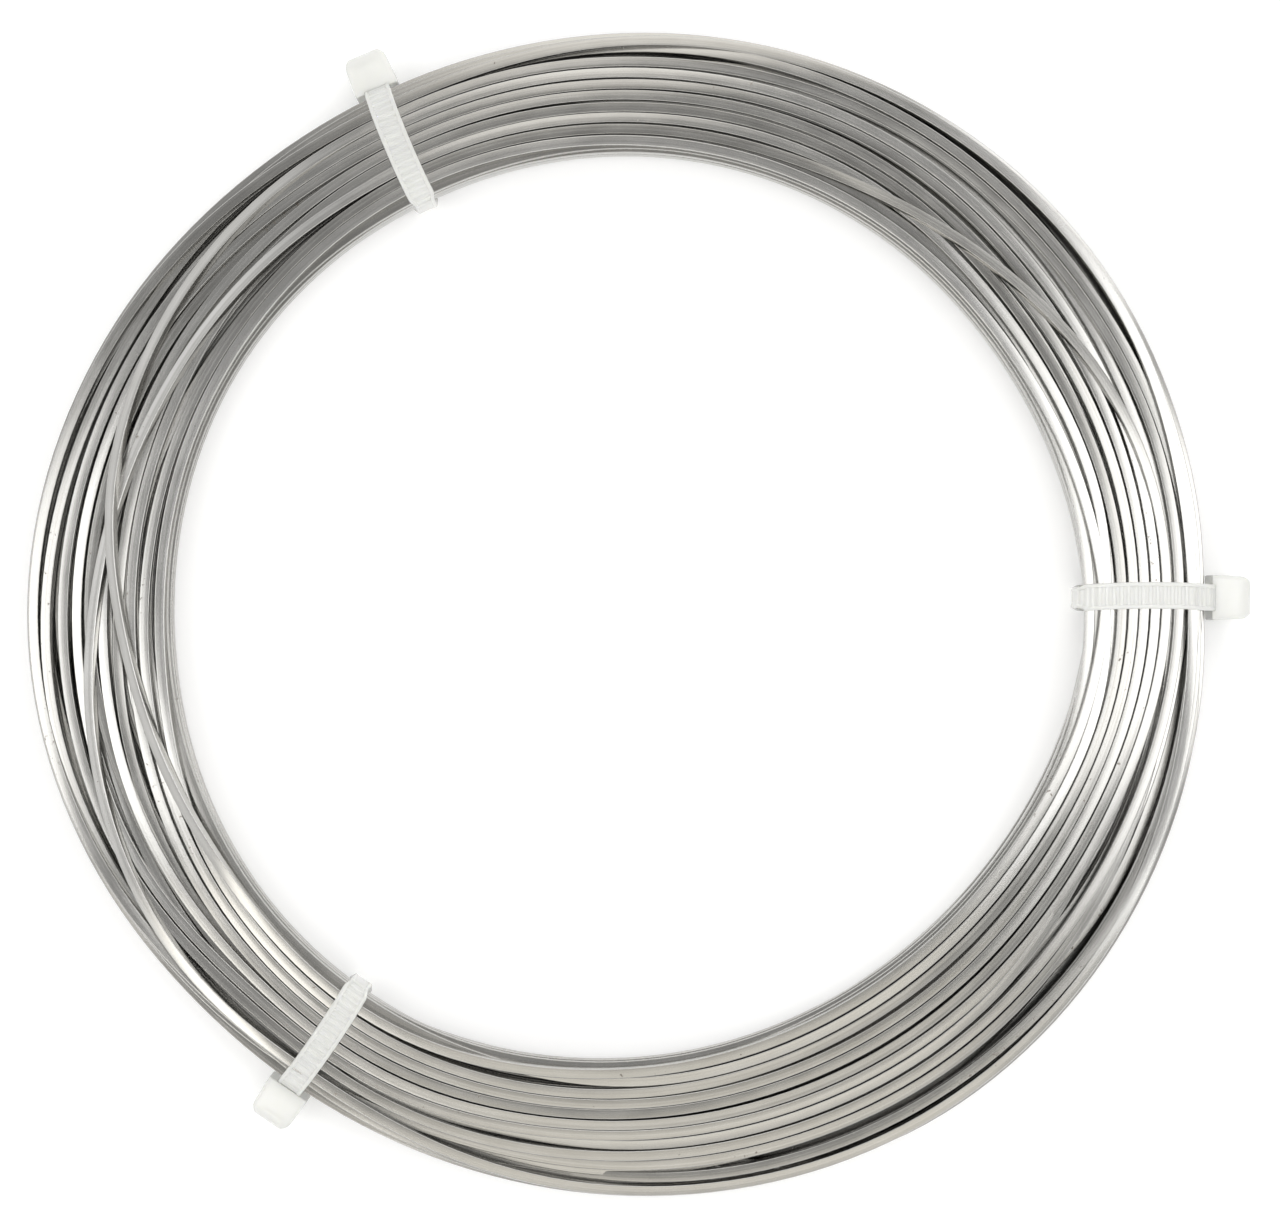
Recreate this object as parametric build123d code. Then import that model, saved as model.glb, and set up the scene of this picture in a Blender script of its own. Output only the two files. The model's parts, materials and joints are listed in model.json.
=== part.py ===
"""Coil of square bright wire, bound by three nylon cable ties.

The coil lies flat, with its axis along Z. The origin is the centre of its bore, at half its height.
The coil is one turned solid: its section is a stack of rows of square wire, so every turn shows as a
land between two grooves. Each tie is looped round the section in an upright plane, in a seat where it
has squeezed the turns together. Its strap is flush with the coil underneath, stands proud on top, and
ends in a head on the outside of the coil.
Lengths are in millimetres and angles in degrees.
"""

import math
import os

from build123d import *

# Wire and winding
WIRE_SIDE = 1.8
WIRE_BEVEL = 0.35
TURN_GAP = 0.04
BORE_RADIUS = 82.5
TURNS_WIDE = 13
ROWS_HIGH = 8
# Turns that the outermost rows leave out at the bore and at the rim, one fewer in each row inwards
BORE_STEPS = 1
RIM_STEPS = 3

# Tie strap, and the seat that it makes for itself in the turns
STRAP_WIDTH = 4.8
STRAP_THICKNESS = 1.2
STRAP_RECESS = 0.15
STRAP_PROUD = 0.9
SEAT_CLEARANCE = 0.15
SEAT_SIDE_CLEARANCE = 0.3
CUT_OVERRUN = 5.0
# Outer radius of the strap's bends, as shares of half the loop's height
BORE_BEND_SHARE = 0.49
RIM_BEND_SHARE = 0.86

# Tie head, with its slot and the cut end of the tail in it
HEAD_WIDTH = 8.2
HEAD_LENGTH = 8.6
HEAD_HEIGHT = 6.6
HEAD_STANDOFF = 0.15
HEAD_DROP = 1.4
HEAD_CORNER = 2.0
HEAD_EDGE = 0.6
SLOT_SIDE_ROOM = 0.4
SLOT_FACE_ROOM = 0.7
SLOT_DEPTH = 1.6
TAIL_RECESS = 0.3

# Where each tie stands round the coil, and how far it is turned out of the radial plane there
TIE_PLACES = {
    "cable_tie_right": (1.8, -1.8),
    "cable_tie_upper": (115.9, -3.0),
    "cable_tie_lower": (234.3, 1.3),
}

# Sizes that follow from those above
TURN_PITCH = WIRE_SIDE + TURN_GAP
COIL_WIDTH = TURNS_WIDE * TURN_PITCH
COIL_HEIGHT = ROWS_HIGH * TURN_PITCH
MEAN_RADIUS = BORE_RADIUS + COIL_WIDTH / 2
LOOP_RISE = (STRAP_PROUD + STRAP_RECESS) / 2
LOOP_HALF_WIDTH = COIL_WIDTH / 2 - STRAP_RECESS
LOOP_HALF_HEIGHT = COIL_HEIGHT / 2 + (STRAP_PROUD - STRAP_RECESS) / 2


def row_span(row):
    """First turn of a row, and the one after its last, counted from the bore."""
    depth = min(row, ROWS_HIGH - 1 - row)
    return max(0, BORE_STEPS - depth), TURNS_WIDE - max(0, RIM_STEPS - depth)


def section_steps():
    """Unit steps round the stacked rows, anticlockwise, as grid point to the next grid point."""
    turns = {(turn, row) for row in range(ROWS_HIGH) for turn in range(*row_span(row))}
    steps = {}
    for turn, row in turns:
        if (turn, row - 1) not in turns:
            steps[(turn, row)] = (turn + 1, row)
        if (turn + 1, row) not in turns:
            steps[(turn + 1, row)] = (turn + 1, row + 1)
        if (turn, row + 1) not in turns:
            steps[(turn + 1, row + 1)] = (turn, row + 1)
        if (turn - 1, row) not in turns:
            steps[(turn, row + 1)] = (turn, row)
    return steps


def section_outline():
    """Points of the turned section, as radius and height, with a bevel at each corner of each wire."""
    steps = section_steps()
    first = min(steps)
    here, after = first, steps[first]
    points = []
    while True:
        beyond = steps[after]
        along = Vector(after[0] - here[0], after[1] - here[1])
        onward = Vector(beyond[0] - after[0], beyond[1] - after[1])
        corner = Vector(BORE_RADIUS, -COIL_HEIGHT / 2) + Vector(*after) * TURN_PITCH
        points.append(corner - along * WIRE_BEVEL)
        turns_outwards = along.X * onward.Y - along.Y * onward.X > 0
        if not turns_outwards:
            inward = Vector(-along.Y, along.X)
            points.append(corner + inward * WIRE_BEVEL)
            if along != onward:
                points.append(corner + Vector(-onward.Y, onward.X) * WIRE_BEVEL)
        points.append(corner + onward * WIRE_BEVEL)
        here, after = after, beyond
        if here == first:
            return [(point.X, point.Y) for point in points]


def turned_coil():
    """The whole coil before it is bound: the stacked rows turned about the axis."""
    section = Plane.XZ * make_face(Polyline(*section_outline(), close=True))
    return revolve(section, Axis.Z)


def loop_face(inset):
    """Rounded face inside the strap's outer line, in the tie's upright plane, that much smaller all round.

    Its X runs outwards and its Y runs up, both from the middle of the loop.
    """
    face = Rectangle(2 * (LOOP_HALF_WIDTH - inset), 2 * (LOOP_HALF_HEIGHT - inset))
    face = fillet(face.vertices().sort_by(Axis.X)[:2], BORE_BEND_SHARE * LOOP_HALF_HEIGHT - inset)
    return fillet(face.vertices().sort_by(Axis.X)[-2:], RIM_BEND_SHARE * LOOP_HALF_HEIGHT - inset)


def upright(face, width):
    """A face drawn in the tie's plane, thickened to both sides of it and set with its Y along Z."""
    return Plane.XZ * extrude(face, width / 2, both=True)


def seat_cut():
    """What a tie squeezes out of the coil: all that lies outside its seat, over the strap's width."""
    block = Rectangle(COIL_WIDTH + 2 * CUT_OVERRUN, COIL_HEIGHT + 2 * CUT_OVERRUN)
    seat = loop_face(STRAP_THICKNESS + SEAT_CLEARANCE)
    return upright(block - seat, STRAP_WIDTH + 2 * SEAT_SIDE_CLEARANCE)


def tie_head(lean):
    """The head's block with its slot and the cut tail in it, its back clear of the coil's rim."""
    standoff = HEAD_STANDOFF + HEAD_WIDTH / 2 * math.tan(math.radians(abs(lean)))
    back = COIL_WIDTH / 2 + standoff
    front = back + HEAD_HEIGHT
    plan = Rectangle(HEAD_HEIGHT, HEAD_WIDTH)
    plan = fillet(plan.vertices().sort_by(Axis.X)[-2:], HEAD_CORNER)
    block = extrude(plan, HEAD_LENGTH / 2, both=True)
    ends = block.faces().filter_by(Axis.Z).edges()
    block = Pos(back + HEAD_HEIGHT / 2) * fillet(ends, HEAD_EDGE)
    slot_size = (STRAP_WIDTH + 2 * SLOT_SIDE_ROOM, STRAP_THICKNESS + 2 * SLOT_FACE_ROOM)
    slot = Pos(front - SLOT_DEPTH / 2) * Box(SLOT_DEPTH, *slot_size)
    tail_length = SLOT_DEPTH - TAIL_RECESS
    tail = Pos(front - SLOT_DEPTH + tail_length / 2) * Box(tail_length, STRAP_WIDTH, STRAP_THICKNESS)
    neck_length = standoff + STRAP_RECESS + STRAP_THICKNESS
    neck = Pos(back - neck_length / 2) * Box(neck_length, STRAP_WIDTH, HEAD_LENGTH - 2 * HEAD_EDGE)
    return Pos(0, 0, -HEAD_DROP) * (block - slot + tail + neck)


def cable_tie(lean):
    """One moulded tie, closed round the coil: strap loop and head."""
    strap = upright(loop_face(0) - loop_face(STRAP_THICKNESS), STRAP_WIDTH)
    return strap + tie_head(lean)


def tie_location(angle, lean):
    """Where a tie's own frame, at the middle of its loop, stands on the coil."""
    return Rot(0, 0, angle) * Pos(MEAN_RADIUS, 0, LOOP_RISE) * Rot(0, 0, lean)


def main():
    coil = turned_coil()
    ties = {}
    for name, (angle, lean) in TIE_PLACES.items():
        location = tie_location(angle, lean)
        coil -= location * seat_cut()
        ties[name] = location * cable_tie(lean)
    os.makedirs("parts", exist_ok=True)
    for name, shape in {"wire_coil": coil, **ties}.items():
        export_step(shape, f"parts/{name}.step")


main()
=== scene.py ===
"""Dresses the coil of square bright wire: one long wire in loose turns, bound by three nylon cable ties.

The wire is laid turn by turn. Under each tie its turns fill level rows inside the strap's loop. Between two
ties the ring widens, turns come up from the rows below to fill the top, and three turns cross over the rest.
Sizes are in millimetres and angles in degrees, anticlockwise from +X seen from above. Meshes are scaled to
metres as they are made.
"""

import json
import logging
import math
from dataclasses import dataclass, field, replace
from enum import Enum
from typing import Any

import bpy
import numpy as np
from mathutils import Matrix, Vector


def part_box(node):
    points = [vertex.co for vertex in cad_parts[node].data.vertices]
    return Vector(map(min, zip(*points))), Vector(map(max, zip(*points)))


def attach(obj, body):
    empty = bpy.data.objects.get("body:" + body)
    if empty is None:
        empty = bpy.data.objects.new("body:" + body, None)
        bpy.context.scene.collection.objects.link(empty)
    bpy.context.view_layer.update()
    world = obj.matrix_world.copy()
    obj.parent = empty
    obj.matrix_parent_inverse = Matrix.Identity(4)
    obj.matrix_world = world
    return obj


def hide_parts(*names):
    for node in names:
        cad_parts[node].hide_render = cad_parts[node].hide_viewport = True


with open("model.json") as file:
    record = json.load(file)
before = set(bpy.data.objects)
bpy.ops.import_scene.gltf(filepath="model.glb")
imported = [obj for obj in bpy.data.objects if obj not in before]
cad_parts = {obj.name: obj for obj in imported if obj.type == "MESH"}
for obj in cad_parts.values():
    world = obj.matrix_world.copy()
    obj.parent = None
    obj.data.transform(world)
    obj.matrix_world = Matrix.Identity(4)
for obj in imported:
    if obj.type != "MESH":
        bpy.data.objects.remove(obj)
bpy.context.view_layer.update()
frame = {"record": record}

LOG = logging.getLogger("wire_coil_scene")
MM = 0.001
COIL_NODE = "wire_coil"
RUN_ATTRIBUTE = "wire_run"

Triple = tuple[float, float, float]
Colour = tuple[float, float, float, float]
Level = tuple[float, float, float, float]
Stops = tuple[tuple[float, float], ...]
Faces = list[list[int]]


def smooth_step(value: np.ndarray) -> np.ndarray:
    """Eases a ramp from 0 to 1 and holds it beyond both ends."""
    held = np.clip(value, 0.0, 1.0)
    return held * held * (3.0 - 2.0 * held)


def smooth_along(values: np.ndarray, reach: float) -> np.ndarray:
    """Smooths a run of values with a bell-shaped window.

    Args:
        values: The run of values.
        reach: Spread of the window, in steps of the run.

    Returns:
        The smoothed run, of the same length.
    """
    half = int(math.ceil(3.0 * reach))
    window = np.exp(-0.5 * (np.arange(-half, half + 1) / reach) ** 2)
    padded = np.pad(values, half, mode="edge")
    return np.convolve(padded, window / window.sum(), mode="valid")


def wander(rng: np.random.Generator, count: int, reach: float) -> np.ndarray:
    """Smooth noise of unit spread along a run.

    Args:
        rng: Source of the seeded draws.
        count: Length of the run.
        reach: How many steps it takes the noise to change.

    Returns:
        The noise, one value a step.
    """
    drawn = smooth_along(rng.standard_normal(count), reach)
    return drawn / drawn.std()


def bell(off: np.ndarray) -> np.ndarray:
    """Fades from 1 where there is no distance to nearly 0 at a distance of 2."""
    return np.exp(-(off**2))


def turned_from(angle: float, angles: np.ndarray) -> np.ndarray:
    """Turn from one angle to each of some others, the shorter way round."""
    return (angles - angle + 180.0) % 360.0 - 180.0


def turning(angle: float) -> np.ndarray:
    """Matrix that turns points by an angle, seen from above."""
    cosine, sine = math.cos(math.radians(angle)), math.sin(math.radians(angle))
    return np.array([[cosine, -sine], [sine, cosine]])


def metre_mesh(name: str, points: np.ndarray, faces: Faces) -> bpy.types.Mesh:
    """Makes a mesh in metres from points in millimetres.

    Args:
        name: Name of the mesh.
        points: Corner points, one row each.
        faces: Lists of point numbers.

    Returns:
        The new mesh.
    """
    mesh = bpy.data.meshes.new(name)
    mesh.from_pydata((points * MM).tolist(), [], faces)
    return mesh


def tube_faces(rings: int, around: int) -> Faces:
    """Quads between successive closed rings of points.

    Args:
        rings: How many rings there are.
        around: Points in each ring.

    Returns:
        The quads, each a list of four point numbers.
    """
    ring = around * np.arange(rings - 1)[:, None]
    start = ring + np.arange(around)
    after = ring + (np.arange(around) + 1) % around
    return np.stack([start, after, after + around, start + around], axis=-1).reshape(-1, 4).tolist()


def closed_tube_faces(rings: int, around: int) -> Faces:
    """Quads between successive closed rings of points, and a face over each end.

    Args:
        rings: How many rings there are.
        around: Points in each ring.

    Returns:
        The faces, each a list of point numbers.
    """
    ends = [list(reversed(range(around))), list(range((rings - 1) * around, rings * around))]
    return tube_faces(rings, around) + ends


def add_piece(name: str, mesh: bpy.types.Mesh, node: str) -> bpy.types.Object:
    """Puts a mesh into the scene as a piece that stands for a CAD node.

    Args:
        name: Name of the piece.
        mesh: Its mesh, in metres in the frame.
        node: The CAD node that it replaces.

    Returns:
        The new object.
    """
    piece = bpy.data.objects.new(name, mesh)
    bpy.context.scene.collection.objects.link(piece)
    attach(piece, "root")
    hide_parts(node)
    LOG.info("%s: %d faces", name, len(mesh.polygons))
    return piece


@dataclass(frozen=True)
class Signal:
    """A node's output, which takes part in Python expressions. Each operator adds a Math node."""

    sheet: "NodeSheet"
    socket: bpy.types.NodeSocket

    def _math(self, operation: str, first: Any, second: Any) -> "Signal":
        """Adds a Math node for two terms."""
        return self.sheet.add("ShaderNodeMath", {"operation": operation}, {0: first, 1: second})

    def __add__(self, other: Any) -> "Signal":
        """Sum with a value on the right."""
        return self._math("ADD", self, other)

    def __radd__(self, other: Any) -> "Signal":
        """Sum with a value on the left."""
        return self._math("ADD", other, self)

    def __sub__(self, other: Any) -> "Signal":
        """Difference with a value on the right."""
        return self._math("SUBTRACT", self, other)

    def __rsub__(self, other: Any) -> "Signal":
        """Difference with a value on the left."""
        return self._math("SUBTRACT", other, self)

    def __mul__(self, other: Any) -> "Signal":
        """Product with a value on the right."""
        return self._math("MULTIPLY", self, other)

    def __rmul__(self, other: Any) -> "Signal":
        """Product with a value on the left."""
        return self._math("MULTIPLY", other, self)


class NodeSheet:
    """The node tree of a material or world, and the one method that adds a node to it."""

    def __init__(self, owner: bpy.types.Material | bpy.types.World) -> None:
        """Starts with an empty tree."""
        owner.use_nodes = True
        self.tree = owner.node_tree
        self.tree.nodes.clear()

    def add(
        self, kind: str, settings: dict[str, Any], inputs: dict[Any, Any], output: str | int = 0
    ) -> Signal:
        """Adds one node.

        Args:
            kind: The node's type.
            settings: Its own settings, set first; "stops" holds a ramp's places and colours.
            inputs: A value or a signal for each socket, by the socket's name or number.
            output: Which output the result stands for.

        Returns:
            The chosen output, or the node's first input where it has no output.
        """
        node = self.tree.nodes.new(kind)
        for name, setting in settings.items():
            if name == "stops":
                self._set_stops(node.color_ramp, setting)
            else:
                setattr(node, name, setting)
        for socket, given in inputs.items():
            if isinstance(given, Signal):
                self.tree.links.new(given.socket, node.inputs[socket])
            else:
                node.inputs[socket].default_value = given
        return Signal(self, node.outputs[output] if len(node.outputs) else node.inputs[0])

    @staticmethod
    def _set_stops(ramp: bpy.types.ColorRamp, stops: Stops) -> None:
        """Sets a ramp's stops.

        Args:
            ramp: The ramp.
            stops: A place and a grey level for each.
        """
        while len(ramp.elements) < len(stops):
            ramp.elements.new(1.0)
        for element, (place, level) in zip(ramp.elements, stops):
            element.position = place
            element.color = (level, level, level, 1.0)

    def blend(self, factor: Any, first: Any, second: Any) -> Signal:
        """Mixes two colours.

        Args:
            factor: Share of the second colour.
            first: Colour at factor 0.
            second: Colour at factor 1.

        Returns:
            The mixed colour.
        """
        return self.add("ShaderNodeMix", {"data_type": "RGBA"}, {0: factor, 6: first, 7: second}, 2)

    def ramp(self, factor: Signal, stops: Stops) -> Signal:
        """Maps a value through grey stops, each a place and a level."""
        return self.add("ShaderNodeValToRGB", {"stops": stops}, {"Fac": factor})

    def noise(self, vector: Signal, scales: Triple, detail: float) -> Signal:
        """Noise about 0.5, on a vector whose three parts are scaled."""
        scaled = self.add("ShaderNodeVectorMath", {"operation": "MULTIPLY"}, {0: vector, 1: scales})
        return self.add("ShaderNodeTexNoise", {}, {"Vector": scaled, "Scale": 1.0, "Detail": detail})

    def close(self, surface: Signal, output: str = "ShaderNodeOutputMaterial") -> None:
        """Links a shader to the tree's output."""
        self.add(output, {}, {"Surface": surface})


def weighted(signals: list[Signal], weights: tuple[float, ...]) -> Signal:
    """Sum of signals, each times its weight.

    Args:
        signals: The signals.
        weights: A weight for each.

    Returns:
        The sum.
    """
    total = signals[0] * weights[0]
    for signal, weight in zip(signals[1:], weights[1:]):
        total = total + signal * weight
    return total


@dataclass(frozen=True)
class DrawnWireFinish:
    """Bright wire as it comes off the drawing die: satin, streaked lengthwise, with a few small stains.

    Scales count features for each millimetre along the wire and for one lap around its section.
    """

    dark: Colour = (0.325, 0.318, 0.3, 1.0)
    light: Colour = (0.655, 0.648, 0.628, 1.0)
    stain: Colour = (0.17, 0.14, 0.11, 1.0)
    streak_scale: Triple = (0.004, 26.0, 0.0)
    line_scale: Triple = (0.002, 60.0, 0.0)
    mottle_scale: Triple = (0.11, 6.0, 0.0)
    stain_scale: Triple = (1.0, 17.0, 0.0)
    patch_scale: Triple = (0.02, 0.5, 0.0)
    streak_weights: tuple[float, float] = (0.6, 0.4)
    stain_weights: tuple[float, float] = (0.8, 0.4)
    stain_stops: Stops = ((0.80, 0.0), (0.86, 1.0))
    stain_strength: float = 0.7
    shade_weights: Triple = (0.75, 0.85, 0.45)
    shade_offset: float = 0.55
    least_roughness: float = 0.11
    roughness_weights: Triple = (0.12, 0.08, 0.2)
    anisotropy: float = 0.6
    across_turn: float = 0.25
    relief_weights: tuple[float, float] = (0.8, 0.2)
    bump_strength: float = 0.1
    bump_distance: float = 0.03

    def material(self) -> bpy.types.Material:
        """Builds the material on the wire's own coordinates: along it, around it, and its tone there.

        Returns:
            The material.
        """
        made = bpy.data.materials.new("drawn_wire")
        sheet = NodeSheet(made)
        run = sheet.add("ShaderNodeAttribute", {"attribute_name": RUN_ATTRIBUTE}, {}, "Vector")
        tone = sheet.add("ShaderNodeSeparateXYZ", {}, {0: run}, "Z")
        broad = sheet.noise(run, self.streak_scale, 1.0)
        fine = sheet.noise(run, self.line_scale, 0.0)
        streaks = weighted([broad, fine], self.streak_weights)
        mottle = sheet.noise(run, self.mottle_scale, 3.0)
        specks = sheet.noise(run, self.stain_scale, 2.0)
        patches = sheet.noise(run, self.patch_scale, 1.0)
        stains = sheet.ramp(weighted([specks, patches], self.stain_weights), self.stain_stops)
        shade = weighted([tone, streaks, mottle], self.shade_weights) - self.shade_offset
        colour = sheet.blend(shade, self.dark, self.light)
        colour = sheet.blend(stains * self.stain_strength, colour, self.stain)
        roughness = self.least_roughness + weighted([streaks, mottle, stains], self.roughness_weights)
        relief = weighted([streaks, mottle], self.relief_weights)
        bump = sheet.add(
            "ShaderNodeBump",
            {},
            {"Strength": self.bump_strength, "Distance": self.bump_distance * MM, "Height": relief},
        )
        surface = sheet.add(
            "ShaderNodeBsdfPrincipled",
            {},
            {
                "Base Color": colour,
                "Roughness": roughness,
                "Metallic": 1.0,
                "Anisotropic": self.anisotropy,
                "Anisotropic Rotation": self.across_turn,
                "Normal": bump,
            },
        )
        sheet.close(surface)
        return made


@dataclass(frozen=True)
class NaturalNylonFinish:
    """Natural nylon: milky, see-through where it is thin, with a soft gloss."""

    pale: Colour = (0.98, 0.985, 0.94, 1.0)
    clouded: Colour = (0.93, 0.94, 0.89, 1.0)
    cloud_scale: Triple = (260.0, 260.0, 260.0)
    cloud_gain: float = 1.6
    cloud_offset: float = 0.4
    roughness: float = 0.2
    scatter_depth: float = 1.6
    scatter_tint: Triple = (1.0, 1.0, 0.9)
    scatter_weight: float = 0.5
    clearness: float = 0.35
    ior: float = 1.53

    def material(self) -> bpy.types.Material:
        """Builds the material on object coordinates.

        Returns:
            The material.
        """
        made = bpy.data.materials.new("natural_nylon")
        sheet = NodeSheet(made)
        place = sheet.add("ShaderNodeTexCoord", {}, {}, "Object")
        cloud = sheet.noise(place, self.cloud_scale, 2.0) * self.cloud_gain - self.cloud_offset
        surface = sheet.add(
            "ShaderNodeBsdfPrincipled",
            {},
            {
                "Base Color": sheet.blend(cloud, self.pale, self.clouded),
                "Roughness": self.roughness,
                "IOR": self.ior,
                "Subsurface Weight": self.scatter_weight,
                "Subsurface Radius": self.scatter_tint,
                "Subsurface Scale": self.scatter_depth * MM,
                "Transmission Weight": self.clearness,
            },
        )
        sheet.close(surface)
        return made


@dataclass(frozen=True)
class TieSpot:
    """Where a tie stands round the coil, how far it is turned there, and its strap's slack to each side."""

    node: str
    angle: float
    lean: float
    bore_slack: float = 0.0
    rim_slack: float = 0.0
    head_shift: float = 0.0


class Tie(Enum):
    """The three ties, as they are placed in the CAD model."""

    RIGHT = TieSpot("cable_tie_right", 1.8, -1.8, bore_slack=1.3, rim_slack=0.8)
    UPPER = TieSpot("cable_tie_upper", 115.9, -3.0, head_shift=-0.6)
    LOWER = TieSpot("cable_tie_lower", 234.3, 1.3, head_shift=-0.1)


@dataclass(frozen=True)
class StrapLoop:
    """The closed loop of a tie's strap, in its upright plane: X outwards and Z up from the loop's middle."""

    mean_radius: float
    half_width: float
    half_height: float
    rise: float
    floor: float
    width: float = 4.8
    thickness: float = 1.2
    bore_bend_share: float = 0.49
    rim_bend_share: float = 0.86
    bore_slack: float = 0.0
    rim_slack: float = 0.0

    @classmethod
    def from_frame(cls) -> "StrapLoop":
        """Takes the loop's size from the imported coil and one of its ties.

        Returns:
            The loop, without slack.
        """
        recess = 0.15
        coil_low, coil_high = (np.array(corner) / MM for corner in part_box(COIL_NODE))
        tie_low, tie_high = (np.array(corner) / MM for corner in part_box(Tie.RIGHT.value.node))
        mounts = {mount["name"]: mount for mount in frame["record"]["mounts"]}
        bore = mounts["coil_bore"]["dims"]["r_mm"]
        rim = coil_high[0]
        return cls(
            mean_radius=(bore + rim) / 2,
            half_width=(rim - bore) / 2 - recess,
            half_height=(tie_high[2] - tie_low[2]) / 2,
            rise=(tie_high[2] + tie_low[2]) / 2,
            floor=coil_low[2],
        )

    def at(self, tie: Tie) -> "StrapLoop":
        """The same loop with the slack that it has at one tie."""
        return replace(self, bore_slack=tie.value.bore_slack, rim_slack=tie.value.rim_slack)

    def bend(self, share: float, inset: float) -> float:
        """Radius of a bend of the loop, that much inside its outer line."""
        return share * self.half_height - inset

    def limits(self, height: float, wire_half: float) -> tuple[float, float]:
        """How far in and out a level square wire may lie inside the loop.

        Args:
            height: Height of the wire's centre above the loop's middle.
            wire_half: Half the wire's side.

        Returns:
            Least and greatest radius of the wire's centre.
        """
        reach = []
        sides = ((self.bore_bend_share, self.bore_slack), (self.rim_bend_share, self.rim_slack))
        for share, slack in sides:
            bend = self.bend(share, self.thickness)
            straight = self.half_height - self.thickness - bend
            past = min(max(abs(height) + wire_half - straight, 0.0), bend)
            curve = math.sqrt(bend * bend - past * past)
            reach.append(self.half_width + slack - self.thickness - bend + curve - wire_half)
        return self.mean_radius - reach[0], self.mean_radius + reach[1]

    def path(self, inset: float, step: float) -> tuple[np.ndarray, np.ndarray]:
        """Points along the loop from the rim over the top, down the bore and back underneath.

        Args:
            inset: How far inside the loop's outer line the path runs.
            step: Spacing of the points, about.

        Returns:
            The points and the outward normals there, as X and Z.
        """
        bore = self.bend(self.bore_bend_share, inset)
        rim = self.bend(self.rim_bend_share, inset)
        rim_x = self.half_width + self.rim_slack - inset - rim
        bore_x = bore - (self.half_width + self.bore_slack - inset)
        high = self.half_height - inset
        corners = [
            (rim_x, high - rim, rim, 0.0),
            (bore_x, high - bore, bore, 90.0),
            (bore_x, bore - high, bore, 180.0),
            (rim_x, rim - high, rim, 270.0),
        ]
        points: list[np.ndarray] = []
        normals: list[np.ndarray] = []
        for index, (x, z, radius, start) in enumerate(corners):
            turns = max(int(radius * math.pi / 2 / step), 4)
            angles = np.radians(start + 90.0 * np.arange(turns) / turns)
            facing = np.stack([np.cos(angles), np.sin(angles)], axis=1)
            points.append(np.array([x, z]) + radius * facing)
            normals.append(facing)
            last = np.radians(start + 90.0)
            flat = np.array([math.cos(last), math.sin(last)])
            here = np.array([x, z]) + radius * flat
            ahead_x, ahead_z, ahead_radius, _ = corners[(index + 1) % len(corners)]
            there = np.array([ahead_x, ahead_z]) + ahead_radius * flat
            pieces = max(int(np.linalg.norm(there - here) / step), 1)
            shares = np.arange(pieces)[:, None] / pieces
            points.append(here + (there - here) * shares)
            normals.append(np.repeat(flat[None, :], pieces, axis=0))
        return np.concatenate(points), np.concatenate(normals)


@dataclass(frozen=True)
class RingOutline:
    """Inner and outer outline of the laid wire, seen from above: angle, inner radius, outer radius."""

    knots: tuple[Triple, ...] = (
        (1.8, 83.85, 105.1),
        (30.0, 82.2, 107.0),
        (60.0, 83.2, 107.1),
        (90.0, 83.9, 105.8),
        (115.9, 83.85, 105.1),
        (150.0, 84.0, 107.3),
        (180.0, 82.9, 109.6),
        (210.0, 83.8, 107.3),
        (234.3, 83.85, 105.1),
        (270.0, 81.2, 106.1),
        (300.0, 79.4, 107.7),
        (330.0, 80.1, 106.8),
    )

    def radii(self, angles: np.ndarray) -> tuple[np.ndarray, np.ndarray]:
        """Draws a smooth outline through the knots.

        Args:
            angles: Where it is wanted.

        Returns:
            Inner and outer radius at each angle.
        """
        knots = np.array(self.knots)
        lap = np.array([360.0, 0.0, 0.0])
        lapped = np.concatenate([knots[-2:] - lap, knots, knots[:2] + lap])
        where = lapped[:, 0]
        slopes = np.gradient(lapped[:, 1:], where, axis=0)
        turned = np.mod(angles, 360.0)
        index = np.clip(np.searchsorted(where, turned, side="right") - 1, 0, len(where) - 2)
        length = (where[index + 1] - where[index])[:, None]
        share = (turned - where[index])[:, None] / length
        start, end = lapped[index, 1:], lapped[index + 1, 1:]
        ease = share * share * (3.0 - 2.0 * share)
        leave = share * (1.0 - share) ** 2 * length * slopes[index]
        arrive = share * share * (share - 1.0) * length * slopes[index + 1]
        mixed = start + (end - start) * ease + leave + arrive
        return mixed[:, 0], mixed[:, 1]


@dataclass(frozen=True)
class Slot:
    """A turn's place under a tie: its row from the bottom and its column from the bore."""

    row: int
    column: int


@dataclass(frozen=True)
class Crossing:
    """A turn that leaves the top row at one tie, crosses over the others and joins it again.

    The path gives angles and the share of the ring's width from the bore at each. The roll leans the turn's
    upper face to the bore, or to the rim where it is negative.
    """

    leaves_column: int
    joins_column: int
    leaves_at: float
    joins_at: float
    roll: float
    path: tuple[tuple[float, float], ...]


@dataclass(frozen=True)
class Gap:
    """A lasting gap between strands of the upper rows, about an angle and a share of a row's strands.

    The share drifts by that much for each degree.
    """

    angle: float
    reach: float
    share: float
    strength: float
    drift: float = 0.0


@dataclass(frozen=True)
class Lean:
    """A patch of the upper rows where the strands lean to the bore, or to the rim with a negative roll.

    It lies about an angle and a share of the ring's width, and reaches so far along and across.
    """

    angle: float
    share: float
    along: float
    across: float
    roll: float


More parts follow.
